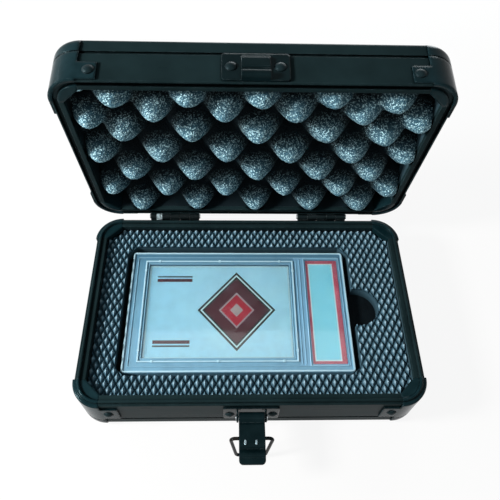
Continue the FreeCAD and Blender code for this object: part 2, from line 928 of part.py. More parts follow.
def lid_nodes():
    """Everything that is fixed to the lid, turned open."""
    nodes = frame_nodes(lid)
    nodes["lid_foam"] = egg_crate()
    nodes["catch_plate"] = catch_plate()
    nodes["catch_plate_rivets"] = Part.makeCompound([r.solid() for r in catch_rivets])
    for shape in nodes.values():
        shape.rotate(Vector(0, hinge_y, hinge_z), Vector(1, 0, 0), -open_angle)
    return nodes


def latch_nodes():
    """The moving pieces of the latch."""
    return {"latch_lever": latch_lever(), "latch_bail": latch_bail()}


def slab_nodes():
    """The card slab in its cut-out."""
    return {
        "slab_rear_shell": slab_rear_shell(),
        "slab_front_shell": slab_front_shell(),
        "slab_card": slab_sheet(card_shift, card_length, card_width, card_thick),
        "slab_label": slab_sheet(label_shift, label_length, label_width, label_thick),
    }


def main():
    """Build every piece and write one file for each."""
    os.makedirs("parts", exist_ok=True)
    nodes = {**base_nodes(), **lid_nodes(), **latch_nodes(), **slab_nodes()}
    for name, shape in nodes.items():
        if not shape.isValid():
            raise ValueError(name + " is not a valid shape")
        shape.exportStep("parts/" + name + ".step")
        print(name, len(shape.Solids), round(shape.Volume, 1))
    hang = at_lever(0, bail_pivot_along, -bail_pivot_drop)
    print("lid hinge", hinge_y, hinge_z, "lever pin", pivot_y, pivot_z, "bail pivot", hang.y, hang.z)
    hooked = hooked_bail()
    lean = math.degrees(math.atan2(hooked.z, -hooked.y))
    print("bail turn from hanging to hooked", lean + quarter_turn + bail_hang_angle)


main()
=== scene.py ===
import math
import random
from collections import namedtuple

import bpy
from mathutils import Matrix, Vector, noise


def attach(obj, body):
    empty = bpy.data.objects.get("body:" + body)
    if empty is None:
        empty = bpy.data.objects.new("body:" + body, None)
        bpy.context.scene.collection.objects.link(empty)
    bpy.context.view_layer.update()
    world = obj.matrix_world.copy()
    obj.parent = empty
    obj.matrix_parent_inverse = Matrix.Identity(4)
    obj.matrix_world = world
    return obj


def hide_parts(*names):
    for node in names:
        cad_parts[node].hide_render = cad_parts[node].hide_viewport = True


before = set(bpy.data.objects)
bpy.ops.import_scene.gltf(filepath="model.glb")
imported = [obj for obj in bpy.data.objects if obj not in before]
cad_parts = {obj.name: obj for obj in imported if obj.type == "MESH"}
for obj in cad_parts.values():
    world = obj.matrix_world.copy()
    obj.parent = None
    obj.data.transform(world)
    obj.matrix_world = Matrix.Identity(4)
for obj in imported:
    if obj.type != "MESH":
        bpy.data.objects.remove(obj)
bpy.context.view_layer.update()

MM = 0.001

# Camera, in millimetres, degrees and pixels of a 500 by 500 picture
CAMERA_PLACE = (-10.80, -154.29, 326.27)
CAMERA_YAW = 3.39
CAMERA_PITCH = 56.76
CAMERA_ROLL = 2.97
CAMERA_FOCUS = 548.94
PICTURE_WIDTH = 500
SENSOR_WIDTH = 36.0

# The case, in millimetres
FOAM_HALF_X = 91.2
FOAM_HALF_Y = 55.8
FOAM_CORNER_CUT = 8.824
FOAM_TOP = 29.0
SLAB_FLOOR = 19.0
PAD_FLOOR = 3.57
RECESS_LEFT = -77.55
RECESS_RIGHT = 63.95
RECESS_HALF_Y = 43.5
RECESS_CUT = 5.5
NOTCH_X = 66.45
NOTCH_RADIUS = 12.5
HINGE_Y = 64.9
HINGE_Z = 32.15
HINGE_RUB_DROP = 3.0
HINGE_RUB_LEFT = -60.6
HINGE_RUB_RIGHT = -57.0
HINGE_RUB_REACH = 4.0
OPEN_ANGLE = 82.0

# Small points of the cut foam and waves of the pad, in millimetres
POINT_STEP_X = 2.15
POINT_STEP_Y = 3.7
POINT_DEPTH = 2.3
POINT_SHIFT_X = 0.12
POINT_SHIFT_Y = 0.18
POINT_SINK = 0.2
FOAM_GAP = 0.02
CUTTER_HEIGHT = 40.0
NOTCH_SIDES = 64
PAD_SINK = 0.12
PAD_WAVE = 0.1
PAD_WAVE_LENGTH = 6.0

# The lid's egg-crate foam, in millimetres, with the lid shut
EGG_PITCH = 36.0
EGG_START_X = -14.4
EGG_START_Y = -2.1
EGG_REACH = 14.9
EGG_BLEND = 2.6
EGG_RISE = 19.35
EGG_FLOOR_Z = 49.35
EGG_BACK_Z = 55.33
EGG_FULLNESS = 0.58
EGG_ROWS_OUT = 5
EGG_COLUMNS_OUT = 7
CONE_SHIFT = 0.6
CONE_SINK = 0.9
CONE_SIZE_LEAST = 0.98
CONE_SIZE_MOST = 1.08
PORE_DEPTH = 0.35
PORE_LENGTH = 1.3
LUMP_DEPTH = 0.5
LUMP_LENGTH = 5.0

# How far the lid's rim pushes the cones, and the start and length of the stretch where it does
PRESS_FRONT = 8.0
PRESS_FRONT_STRETCH = (30, 26)
PRESS_CORNER = 7.0
PRESS_CORNER_STRETCH_X = (66, 24)
PRESS_CORNER_STRETCH_Y = (10, 28)
PRESS_RIGHT = 7.0
PRESS_RIGHT_STRETCH = (48, 46)
PRESS_LEFT = 2.6
PRESS_LEFT_STRETCH = (70, 17)

# The card slab, in millimetres
SLAB_X = -6.8
SLAB_HALF_X = 67.8
SLAB_HALF_Y = 40.8
SLAB_PARTING = 22.0
SLAB_TOP = 25.0
SLAB_SUNK = 24.2
SLAB_ROUND = 2.0
CARD_X = -18.8
CARD_HALF_X = 44.45
CARD_HALF_Y = 31.75
LABEL_X = 46.8
LABEL_HALF_X = 10.3
LABEL_HALF_Y = 35.8
BAY_LEFT = 28.7
BAY_RIGHT = 58.6
BAY_HALF_Y = 37.0
SHELL_GAP = 0.03
CARD_ROUND = 0.8
CARD_BACK = 0.5
CARD_FACE = 0.16
LABEL_ROUND = 0.6
LABEL_BACK = 0.3
LABEL_FACE = 0.12
WELL_CLEARANCE = 0.3

# Lines and clips of the slab: places, and each profile's width, rise and slope, in millimetres
RIM_PROFILE = (1.5, SLAB_TOP - SLAB_SUNK, 0.35)
LEDGE_IN = 3.3
LEDGE_PROFILE = (0.9, 0.4, 0.3)
CARD_LINE_OUT = 3.0
CARD_LINE_PROFILE = (1.4, 0.8, 0.35)
CARD_STEP_OUT = 1.0
CARD_STEP_PROFILE = (0.8, 0.4, 0.25)
LABEL_LINE_OUT_X = 1.5
LABEL_LINE_OUT_Y = 1.2
LABEL_LINE_PROFILE = (0.8, 0.45, 0.25)
RIB_PLACES = (30.4, 32.6)
RIB_HALF_X = 0.5
RIB_HALF_Y = 36.0
RIB_PROFILE = (1.0, 0.25, 0.3)
CLIP_HALF = 0.9
CLIP_OUT = 2.3
CLIP_FROM_END = 4.5
CLIP_FROM_SIDE = 6.0
CLIP_PROFILE = (1.8, 1.1, 0.3)
CARD_WELL_PROFILE = (100, -0.5, 0.2)
LABEL_WELL_PROFILE = (100, -0.3, 0.2)
CARD_EDGE_PROFILE = (200, 0.08, 0.15)
LABEL_EDGE_PROFILE = (200, 0.05, 0.1)
LINES_APART = 0.02

# Print on the card and the label, in millimetres
LOZENGE_X = -8.0
LOZENGE_HALF_X = 24.0
LOZENGE_HALF_Y = 27.0
BAR_LEFT = -58.0
BAR_RIGHT = -36.0
CARD_MARGIN = 1.05
FRAME_LEFT = 1.7
FRAME_RIGHT = 3.0
FRAME_END = 2.3
WHITE_LINE = 0.7
WHITE_LINE_END = 0.8

# Ridges on the lever, in millimetres, with the taper as shares of their half length
MARK_X = -0.65
MARK_SPREAD = 2.95
MARK_Y = -80.9
MARK_HALF_X = 0.65
MARK_HALF_Y = 1.35
MARK_RISE = 0.45
MARK_SINK = 0.02
MARK_ROOT = 0.4
MARK_TAPER_START = 0.7
MARK_TAPER = 0.6
LEVER_FACE_Z = 29.3

# Stage, in millimetres and as shares
FLOOR_HALF = 6000.0
FLOOR_DROP = 0.05
FLOOR_TONE = (0.82, 0.80, 0.78)
FLOOR_WHITE = 0.9
SKY_TONE = (0.86, 0.95, 1.0)
SKY_STRENGTH = 0.08
PLAIN_WHITE = (1.0, 1.0, 1.0)
COOL_WHITE = (0.9, 0.97, 1.0)
BLUE_WHITE = (0.85, 0.96, 1.0)

# Colours that several materials share
RAIL_DARK = (0.0088, 0.0186, 0.0205)
RAIL_LIGHT = (0.0131, 0.0276, 0.0302)
HINGE_DARK = (0.003, 0.006, 0.0066)
HINGE_LIGHT = (0.007, 0.011, 0.012)
# Black painted as shade into grooves and joints
PAINTED_SHADE_BLACK = (0.0004, 0.0008, 0.001)
DEEP_RED = (0.072, 0.004, 0.014)
DEEP_GREEN = (0.004, 0.022, 0.021)


# Materials

class Graph:
    """Short names for the nodes of one material."""

    def __init__(self, name):
        self.material = bpy.data.materials.new(name)
        self.material.use_nodes = True
        self.tree = self.material.node_tree
        self.tree.nodes.clear()
        self.output = self.tree.nodes.new("ShaderNodeOutputMaterial")
        self.place = self.tree.nodes.new("ShaderNodeTexCoord").outputs["Object"]

    def put(self, socket, value):
        """Links a socket to another, or sets it to a value."""
        if isinstance(value, bpy.types.NodeSocket):
            self.tree.links.new(value, socket)
        else:
            socket.default_value = value

    def math(self, operation, first, second=0.0, clamp=False):
        node = self.tree.nodes.new("ShaderNodeMath")
        node.operation = operation
        node.use_clamp = clamp
        self.put(node.inputs[0], first)
        self.put(node.inputs[1], second)
        return node.outputs[0]

    def axes(self, place=None):
        """The place's x, y and z, in metres."""
        node = self.tree.nodes.new("ShaderNodeSeparateXYZ")
        self.put(node.inputs[0], place or self.place)
        return node.outputs

    def stretched(self, scale):
        node = self.tree.nodes.new("ShaderNodeMapping")
        self.put(node.inputs["Vector"], self.place)
        self.put(node.inputs["Scale"], scale)
        return node.outputs[0]

    def noise(self, size, detail=3.0, stretch=(1, 1, 1), rough=0.55):
        """Noise whose features are about this many metres across."""
        node = self.tree.nodes.new("ShaderNodeTexNoise")
        self.put(node.inputs["Vector"], self.stretched(stretch))
        self.put(node.inputs["Scale"], 1 / size)
        self.put(node.inputs["Detail"], detail)
        self.put(node.inputs["Roughness"], rough)
        return node.outputs["Fac"]

    def cells(self, size, feature="F1"):
        node = self.tree.nodes.new("ShaderNodeTexVoronoi")
        node.feature = feature
        self.put(node.inputs["Vector"], self.place)
        self.put(node.inputs["Scale"], 1 / size)
        return node.outputs["Distance"]

    def grains(self, size):
        """A chance number for each cell of this many metres."""
        node = self.tree.nodes.new("ShaderNodeTexVoronoi")
        self.put(node.inputs["Vector"], self.place)
        self.put(node.inputs["Scale"], 1 / size)
        return self.axes(node.outputs["Color"])["X"]

    def ramp(self, amount, stops):
        """Colour by amount, through (place, colour) stops."""
        node = self.tree.nodes.new("ShaderNodeValToRGB")
        elements = node.color_ramp.elements
        while len(elements) < len(stops):
            elements.new(0.5)
        for element, (place, colour) in zip(elements, stops):
            element.position = place
            element.color = (*colour, 1)
        self.put(node.inputs[0], amount)
        return node.outputs[0]

    def span(self, amount, low, high, to_low=0.0, to_high=1.0):
        """An amount carried from one range to another, and held there."""
        node = self.tree.nodes.new("ShaderNodeMapRange")
        self.put(node.inputs["Value"], amount)
        self.put(node.inputs["From Min"], low)
        self.put(node.inputs["From Max"], high)
        self.put(node.inputs["To Min"], to_low)
        self.put(node.inputs["To Max"], to_high)
        return node.outputs["Result"]

    def mix(self, amount, first, second, how="MIX"):
        node = self.tree.nodes.new("ShaderNodeMix")
        node.data_type = "RGBA"
        node.blend_type = how
        self.put(node.inputs[0], amount)
        for socket, colour in ((node.inputs[6], first), (node.inputs[7], second)):
            self.put(socket, (*colour, 1) if isinstance(colour, tuple) else colour)
        return node.outputs[2]

    def bump(self, height, depth, strength=1.0, below=None):
        """Relief this many metres deep."""
        node = self.tree.nodes.new("ShaderNodeBump")
        self.put(node.inputs["Height"], height)
        self.put(node.inputs["Distance"], depth)
        self.put(node.inputs["Strength"], strength)
        if below is not None:
            self.put(node.inputs["Normal"], below)
        return node.outputs[0]

    def eased(self, radius):
        """Normals that round the edges."""
        node = self.tree.nodes.new("ShaderNodeBevel")
        node.samples = 4
        self.put(node.inputs["Radius"], radius)
        return node.outputs[0]

    def edges(self, radius):
        """How close a point is to an edge, from 0 to 1."""
        node = self.tree.nodes.new("ShaderNodeVectorMath")
        node.operation = "DOT_PRODUCT"
        self.put(node.inputs[0], self.eased(radius))
        self.put(node.inputs[1], self.tree.nodes.new("ShaderNodeNewGeometry").outputs["Normal"])
        return self.span(node.outputs["Value"], 0.98, 0.75)

    def crevices(self, reach):
        """How far a point is sunk in a groove or a joint, from 0 to 1."""
        node = self.tree.nodes.new("ShaderNodeAmbientOcclusion")
        node.samples = 4
        self.put(node.inputs["Distance"], reach)
        return self.span(node.outputs["AO"], 0.8, 0.5)

    def principled(self, **values):
        """The surface, from socket names with underscores for spaces."""
        node = self.tree.nodes.new("ShaderNodeBsdfPrincipled")
        for name, value in values.items():
            if isinstance(value, tuple):
                value = (*value, 1)
            self.put(node.inputs[name.replace("_", " ")], value)
        self.put(self.output.inputs["Surface"], node.outputs[0])
        return self.material


def brushed_metal(name, stretch, dark, light, roughness, specular):
    """Satin black anodised metal with fine lines along it, edges painted lighter partly as wear and partly
    as a painted highlight, and painted shade in its grooves and joints.
    """
    g = Graph(name)
    lines = g.noise(0.0016, 4.0, stretch)
    cloud = g.noise(0.025, 3.0)
    tone = g.mix(g.span(cloud, 0.35, 0.7), dark, light)
    # Edges are painted lighter: partly wear, partly a painted highlight.
    edge_wear_and_glint = g.math("MULTIPLY", g.edges(0.0004), g.span(g.noise(0.004, 4.0), 0.45, 0.7, 0.06, 0.5))
    tone = g.mix(edge_wear_and_glint, tone, (0.17, 0.25, 0.28))
    # Painted shade: grooves and joints are darkened by their ambient occlusion.
    tone = g.mix(g.crevices(0.003), tone, PAINTED_SHADE_BLACK)
    streaks = g.span(lines, 0.3, 0.7, -0.03, 0.03)
    rough = g.math("ADD", streaks, g.span(cloud, 0.3, 0.7, roughness - 0.03, roughness + 0.04))
    relief = g.bump(lines, 0.00003, 0.2, g.eased(0.0005))
    return g.principled(
        Base_Color=tone,
        Roughness=rough,
        Specular_IOR_Level=specular,
        Specular_Tint=(0.55, 0.93, 1.0),
        Normal=relief,
    )


def cast_metal(name, dark, light, roughness, specular, edge, ease=0.0009):
    """Painted or cast metal with a fine grain, edges painted lighter partly as wear and partly as a painted
    highlight, and painted shade in its grooves and joints.
    """
    g = Graph(name)
    grain = g.noise(0.0009, 5.0)
    cloud = g.noise(0.012, 3.0)
    tone = g.mix(g.span(cloud, 0.35, 0.7), dark, light)
    # Edges are painted lighter: partly wear, partly a painted highlight.
    edge_wear_and_glint = g.math("MULTIPLY", g.edges(0.0004), g.span(g.noise(0.003, 4.0), 0.45, 0.68, 0.08, 0.55))
    tone = g.mix(edge_wear_and_glint, tone, edge)
    # Painted shade: grooves and joints are darkened by their ambient occlusion.
    tone = g.mix(g.crevices(0.0012), tone, PAINTED_SHADE_BLACK)
    rough = g.span(grain, 0.3, 0.7, roughness - 0.03, roughness + 0.04)
    relief = g.bump(grain, 0.00001, 0.1, g.eased(ease))
    return g.principled(
        Base_Color=tone,
        Roughness=rough,
        Specular_IOR_Level=specular,
        Specular_Tint=(0.6, 0.93, 1.0),
        Normal=relief,
    )


def worn_hinge():
    """The left hinge: black, with one end rubbed bright."""
    g = Graph("hinge_worn")
    grain = g.noise(0.0012, 4.0)
    x, y, z = g.axes()
    near, far = HINGE_Y - HINGE_RUB_REACH, HINGE_Y + HINGE_RUB_REACH
    rubbed = in_box(g, x, y, HINGE_RUB_LEFT, HINGE_RUB_RIGHT, near, far)
    rubbed = g.math("MULTIPLY", rubbed, g.math("GREATER_THAN", z, (HINGE_Z - HINGE_RUB_DROP) * MM))
    rubbed = g.math("MULTIPLY", rubbed, g.span(grain, 0.35, 0.6, 0.35, 1.0))
    tone = g.mix(g.span(grain, 0.35, 0.7), HINGE_DARK, HINGE_LIGHT)
    tone = g.mix(rubbed, tone, (0.42, 0.52, 0.55))
    return g.principled(
        Base_Color=tone,
        Roughness=g.span(grain, 0.3, 0.7, 0.2, 0.3),
        Specular_IOR_Level=0.08,
        Normal=g.bump(grain, 0.00001, 0.1, g.eased(0.0009)),
    )


def bare_metal(name, dark, light, roughness):
    """Plated wire and pins: metal with streaks."""
    g = Graph(name)
    streaks = g.noise(0.0012, 4.0, (0.25, 1, 1))
    tone = g.mix(g.span(streaks, 0.3, 0.7), dark, light)
    rough = g.span(streaks, 0.3, 0.7, roughness - 0.06, roughness + 0.1)
    relief = g.bump(streaks, 0.00004, 0.4, g.eased(0.0003))
    return g.principled(Base_Color=tone, Metallic=0.85, Roughness=rough, Normal=relief)


def panel_skin():
    """Pebbled black laminate of the outer panels."""
    g = Graph("panel_laminate")
    pebbles = g.cells(0.0011, "SMOOTH_F1")
    cloud = g.noise(0.03, 3.0)
    tone = g.mix(g.span(cloud, 0.3, 0.7), (0.016, 0.021, 0.024), (0.030, 0.038, 0.043))
    rough = g.span(pebbles, 0.1, 0.7, 0.55, 0.4)
    relief = g.bump(pebbles, 0.0002, 0.6)
    return g.principled(Base_Color=tone, Roughness=rough, Specular_IOR_Level=0.12, Normal=relief)


def lining_cloth():
    """Smooth dark lining of the side boards, with the right-hand wall painted lighter as light falling on
    it.
    """
    g = Graph("lining_cloth")
    fibre = g.noise(0.0007, 5.0)
    cloud = g.noise(0.02, 2.0)
    tone = g.mix(g.span(cloud, 0.3, 0.7), (0.003, 0.007, 0.009), (0.008, 0.015, 0.019))
    # Painted light: the right-hand wall is painted lighter, as if lit from the left.
    tone = g.mix(g.span(g.axes()["X"], 0.085, 0.0915, 0.0, 0.9), tone, (0.045, 0.085, 0.105))
    return g.principled(
        Base_Color=tone,
        Roughness=g.span(fibre, 0.3, 0.7, 0.45, 0.6),
        Specular_IOR_Level=0.08,
        Normal=g.bump(fibre, 0.00012, 0.5),
    )


def cut_foam_skin():
    """Fine closed-cell foam, with painted light on its points and painted shade in its grooves."""
    g = Graph("cut_foam")
    pores = g.cells(0.00055)
    cloud = g.noise(0.008, 3.0)
    height = g.axes()["Z"]
    # Painted light and shade by height: cut walls lighter towards the top, dark shade in the grooves, pale
    # light on the points.
    tone = g.ramp(
        g.span(height, SLAB_FLOOR * MM, FOAM_TOP * MM),
        [
            (0.0, (0.012, 0.030, 0.041)),
            (0.69, (0.050, 0.104, 0.136)),
            (0.735, (0.002, 0.011, 0.017)),
            (0.85, (0.060, 0.134, 0.180)),
            (1.0, (0.48, 0.69, 0.80)),
        ],
    )
    tone = g.mix(g.span(cloud, 0.3, 0.75, 0.0, 0.3), tone, (0.03, 0.05, 0.06))
    tone = g.mix(g.span(pores, 0.15, 0.5, 0.35, 0.0), tone, (0.008, 0.014, 0.018))
    return g.principled(
        Base_Color=tone,
        Roughness=g.span(pores, 0.1, 0.6, 0.85, 0.65),
        Specular_IOR_Level=0.08,
        Normal=g.bump(pores, 0.00018, 0.5),
    )


def painted_shade_pad_skin():
    """The same foam, painted darker as the shade of the cut-out's floor."""
    g = Graph("pad_foam_painted_shade")
    pores = g.cells(0.00055)
    # Painted shade: much darker than the cut foam above.
    tone = g.mix(g.span(g.noise(0.008, 3.0), 0.3, 0.75), (0.0016, 0.0036, 0.005), (0.004, 0.008, 0.0105))
    return g.principled(
        Base_Color=tone,
        Roughness=g.span(pores, 0.1, 0.6, 0.9, 0.75),
        Specular_IOR_Level=0.08,
        Normal=g.bump(pores, 0.00018, 0.5),
    )


def egg_foam_skin():
    """Open-cell foam: black, with painted shade in its valleys, painted light on its tips, and pale painted
    glints on the tips' cell walls.
    """
    g = Graph("egg_crate_foam")
    pores = g.cells(0.0008)
    cloud = g.noise(0.006, 4.0)
    turn = math.radians(OPEN_ANGLE)
    _, y, z = g.axes()
    back = g.math("ADD", g.math("MULTIPLY", y, math.sin(turn)), g.math("MULTIPLY", z, math.cos(turn)))
    shut = (HINGE_Y * math.sin(turn) + HINGE_Z * math.cos(turn) - HINGE_Z) * MM
    depth = g.span(back, EGG_FLOOR_Z * MM + shut, (EGG_FLOOR_Z - EGG_RISE) * MM + shut)
    # Painted shade and light by depth: near black in the valleys, pale on the tips.
    tone = g.ramp(
        depth,
        [
            (0.0, (0.0012, 0.0036, 0.0052)),
            (0.5, (0.0024, 0.0075, 0.0110)),
            (0.85, (0.062, 0.150, 0.200)),
            (1.0, (0.118, 0.265, 0.345)),
        ],
    )
    tone = g.mix(g.span(cloud, 0.35, 0.7, 0.35, 0.0), tone, (0.003, 0.006, 0.007))
    # Painted glints: pale grains on the tips, standing in for highlights on the cell walls.
    painted_glint = g.math("MULTIPLY", g.span(g.grains(0.0005), 0.68, 0.92), g.span(depth, 0.35, 0.95))
    tone = g.mix(painted_glint, tone, (0.62, 0.93, 1.0))
    return g.principled(
        Base_Color=tone,
        Roughness=g.span(cloud, 0.3, 0.7, 0.6, 0.8),
        Specular_IOR_Level=0.08,
        Normal=g.bump(pores, 0.0006, 0.9),
    )


def in_box(g, x, y, left, right, near, far):
    """One inside a rectangle, in millimetres, and nought outside."""
    gates = [
        g.math("GREATER_THAN", x, left * MM),
        g.math("LESS_THAN", x, right * MM),
        g.math("GREATER_THAN", y, near * MM),
        g.math("LESS_THAN", y, far * MM),
    ]
    inside = gates[0]
    for gate in gates[1:]:
        inside = g.math("MULTIPLY", inside, gate)
    return inside


def clear_plastic():
    """Clear moulded plastic: see-through over the card and the label, cloudier in its border, with painted
    highlights along its raised lines.
    """
    g = Graph("clear_plastic")
    x, y, z = g.axes()
    card_left, card_right = CARD_X - CARD_HALF_X, CARD_X + CARD_HALF_X
    over_card = in_box(g, x, y, card_left, card_right, -CARD_HALF_Y, CARD_HALF_Y)
    label_left, label_right = LABEL_X - LABEL_HALF_X, LABEL_X + LABEL_HALF_X
    over_label = in_box(g, x, y, label_left, label_right, -LABEL_HALF_Y, LABEL_HALF_Y)
    window = g.math("MAXIMUM", over_card, over_label)
    blotch = g.noise(0.011, 2.0, (1, 0.6, 1))
    border = g.span(blotch, 0.35, 0.65, 0.24, 0.12)
    outside = g.math("MULTIPLY", g.math("SUBTRACT", 1.0, window), border)
    clear = g.math("ADD", g.math("MULTIPLY", window, 0.99), outside)
    cloudy = g.ramp(
        g.span(y, -SLAB_HALF_Y * MM, SLAB_HALF_Y * MM),
        [
            (0.0, (0.21, 0.45, 0.61)),
            (0.5, (0.20, 0.42, 0.56)),
            (0.9, (0.13, 0.30, 0.42)),
            (1.0, (0.075, 0.19, 0.28)),
        ],
    )
    beside_label = in_box(g, x, y, BAY_LEFT, BAY_RIGHT, -BAY_HALF_Y, BAY_HALF_Y)
    cloudy = g.mix(g.math("MULTIPLY", beside_label, 0.5), cloudy, (0.28, 0.56, 0.80))
    cloudy = g.mix(g.span(blotch, 0.45, 0.75, 0.0, 0.45), cloudy, (0.075, 0.17, 0.24))
    # Painted highlights: the tops of the rim, the lines and the clips are painted paler.
    ridge_painted_highlight = g.span(z, (SLAB_SUNK + 0.15) * MM, (SLAB_SUNK + 0.45) * MM)
    cloudy = g.mix(g.math("MULTIPLY", ridge_painted_highlight, 0.6), cloudy, (0.36, 0.62, 0.76))
    crest_painted_highlight = g.span(z, (SLAB_SUNK + 0.6) * MM, (SLAB_SUNK + 0.78) * MM)
    cloudy = g.mix(g.math("MULTIPLY", crest_painted_highlight, 0.75), cloudy, (0.62, 0.90, 1.0))
    tone = g.mix(window, cloudy, (0.97, 1.0, 1.0))
    scuffs = g.noise(0.0008, 4.0, (0.15, 1, 1))
    return g.principled(
        Base_Color=tone,
        Roughness=g.span(scuffs, 0.35, 0.75, 0.03, 0.11),
        IOR=1.49,
        Transmission_Weight=clear,
        Normal=g.bump(g.noise(0.006, 2.0), 0.00006, 0.25),
    )


def paper_print(g, tone):
    """Coated paper with a faint tooth."""
    tooth = g.noise(0.0004, 4.0)
    tone = g.mix(g.span(tooth, 0.3, 0.7, 0.0, 0.04), tone, (0.30, 0.36, 0.38))
    return g.principled(
        Base_Color=tone,
        Roughness=g.span(tooth, 0.3, 0.7, 0.38, 0.52),
        Specular_IOR_Level=0.4,
        Normal=g.bump(tooth, 0.00003, 0.4),
    )


def card_print():
    """A plain geometric print: nested lozenges and bars on a pale ground."""
    g = Graph("card_print")
    x, y, _ = g.axes()
    tone = g.ramp(
        g.span(x, (CARD_X - CARD_HALF_X) * MM, (CARD_X + CARD_HALF_X) * MM),
        [(0.0, (0.39, 0.80, 1.0)), (0.5, (0.48, 0.86, 1.0)), (1.0, (0.45, 0.85, 1.0))],
    )
    tone = g.mix(g.span(g.noise(0.018, 3.0), 0.35, 0.7, 0.0, 0.5), tone, (0.36, 0.75, 0.98))
    across = g.math("DIVIDE", g.math("ABSOLUTE", g.math("SUBTRACT", x, LOZENGE_X * MM)), LOZENGE_HALF_X * MM)
    along = g.math("DIVIDE", g.math("ABSOLUTE", y), LOZENGE_HALF_Y * MM)
    lozenge = g.math("ADD", across, along)
    layers = [
        (1.00, DEEP_GREEN),
        (0.93, (0.62, 0.88, 0.92)),
        (0.88, DEEP_GREEN),
        (0.82, DEEP_RED),
        (0.46, (0.36, 0.30, 0.31)),
        (0.40, (0.45, 0.008, 0.030)),
        (0.17, (0.42, 0.39, 0.38)),
    ]
    for size, colour in layers:
        tone = g.mix(g.math("LESS_THAN", lozenge, size), tone, colour)
    bars = [
        (20.0, 22.2, DEEP_RED),
        (23.2, 24.2, DEEP_GREEN),
    ]
    for near, far, colour in bars:
        for low, high in ((near, far), (-far, -near)):
            bar = in_box(g, x, y, BAR_LEFT, BAR_RIGHT, low, high)
            tone = g.mix(bar, tone, colour)
    shade = g.noise(0.004, 4.0)
    tone = g.mix(g.span(shade, 0.4, 0.75, 0.0, 0.1), tone, (0.05, 0.03, 0.04))
    half_x, half_y = CARD_HALF_X - CARD_MARGIN, CARD_HALF_Y - CARD_MARGIN
    inside = in_box(g, x, y, CARD_X - half_x, CARD_X + half_x, -half_y, half_y)
    tone = g.mix(inside, (0.55, 0.85, 0.94), tone)
    return paper_print(g, tone)


def label_print():
    """A blank label: a pale field in a red frame with a thin white line."""
    g = Graph("label_print")
    x, y, _ = g.axes()
    left = LABEL_X - LABEL_HALF_X + FRAME_LEFT
    right = LABEL_X + LABEL_HALF_X - FRAME_RIGHT
    half_y = LABEL_HALF_Y - FRAME_END
    fade = g.noise(0.012, 3.0)
    red = g.mix(g.span(fade, 0.3, 0.7), (0.58, 0.075, 0.125), (0.66, 0.14, 0.20))
    pale = g.mix(g.span(fade, 0.3, 0.7), (0.27, 0.82, 1.0), (0.32, 0.86, 1.0))
    white = in_box(g, x, y, left, right, -half_y, half_y)
    end = half_y - WHITE_LINE_END
    field = in_box(g, x, y, left + WHITE_LINE, right - WHITE_LINE, -end, end)
    tone = g.mix(field, g.mix(white, red, (0.80, 0.93, 0.97)), pale)
    return paper_print(g, tone)


def paint_nodes():
    """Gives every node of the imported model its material."""
    long_rail = brushed_metal("frame_long", (0.02, 1, 1), RAIL_DARK, RAIL_LIGHT, 0.3, 0.015)
    short_rail = brushed_metal("frame_short", (1, 0.02, 0.02), RAIL_DARK, RAIL_LIGHT, 0.3, 0.015)
    casting = cast_metal(
        "corner_casting",
        dark=(0.0030, 0.0135, 0.0165),
        light=(0.0080, 0.0250, 0.0305),
        roughness=0.17,
        specular=0.05,
        edge=(0.14, 0.2, 0.22),
        ease=0.0018,
    )
    rivet = cast_metal(
        "rivet_black",
        dark=(0.004, 0.010, 0.012),
        light=(0.011, 0.022, 0.025),
        roughness=0.34,
        specular=0.08,
        edge=(0.16, 0.2, 0.22),
    )
    hinge = cast_metal(
        "hinge_black",
        dark=HINGE_DARK,
        light=HINGE_LIGHT,
        roughness=0.24,
        specular=0.08,
        edge=(0.34, 0.4, 0.42),
    )
    latch = cast_metal(
        "latch_black",
        dark=(0.0016, 0.0066, 0.0080),
        light=(0.0044, 0.0125, 0.0145),
        roughness=0.15,
        specular=0.06,
        edge=(0.26, 0.32, 0.34),
        ease=0.0011,
    )
    wire = cast_metal(
        "bail_wire",
        dark=(0.005, 0.004, 0.0035),
        light=(0.018, 0.014, 0.012),
        roughness=0.14,
        specular=0.07,
        edge=(0.3, 0.28, 0.26),
    )
    pin = bare_metal("pin_steel", (0.2, 0.22, 0.23), (0.42, 0.45, 0.46), 0.3)
    panel = panel_skin()
    lining = lining_cloth()
    left_hinge = worn_hinge()
    for name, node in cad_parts.items():
        if name.endswith("_rivets"):
            skin = rivet
        elif "_corner_" in name:
            skin = casting
        elif name.endswith(("front_rail", "rear_rail")):
            skin = long_rail
        elif name.endswith(("left_rail", "right_rail")):
            skin = short_rail
        elif name.endswith("_panel"):
            skin = panel
        elif name.endswith("wall_boards"):
            skin = lining
        elif name.endswith("hinge_leaf_left"):
            skin = left_hinge
        elif "hinge_leaf" in name:
            skin = hinge
        elif name.startswith("hinge_pin") or name == "latch_pin":
            skin = pin
        elif name == "latch_bail":
            skin = wire
        else:
            skin = latch
        node.data.materials.clear()
        node.data.materials.append(skin)


# Pieces

def piece(name, points, faces, body, skin, smooth=False):
    """A mesh from points in millimetres, riding on a body."""
    mesh = bpy.data.meshes.new(name)
    mesh.from_pydata([[c * MM for c in p] for p in points], [], faces)
    mesh.validate()
    mesh.update()
    for polygon in mesh.polygons:
        polygon.use_smooth = smooth
    mesh.materials.append(skin)
    made = bpy.data.objects.new(name, mesh)
    bpy.context.scene.collection.objects.link(made)
    if body:
        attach(made, body)
    return made


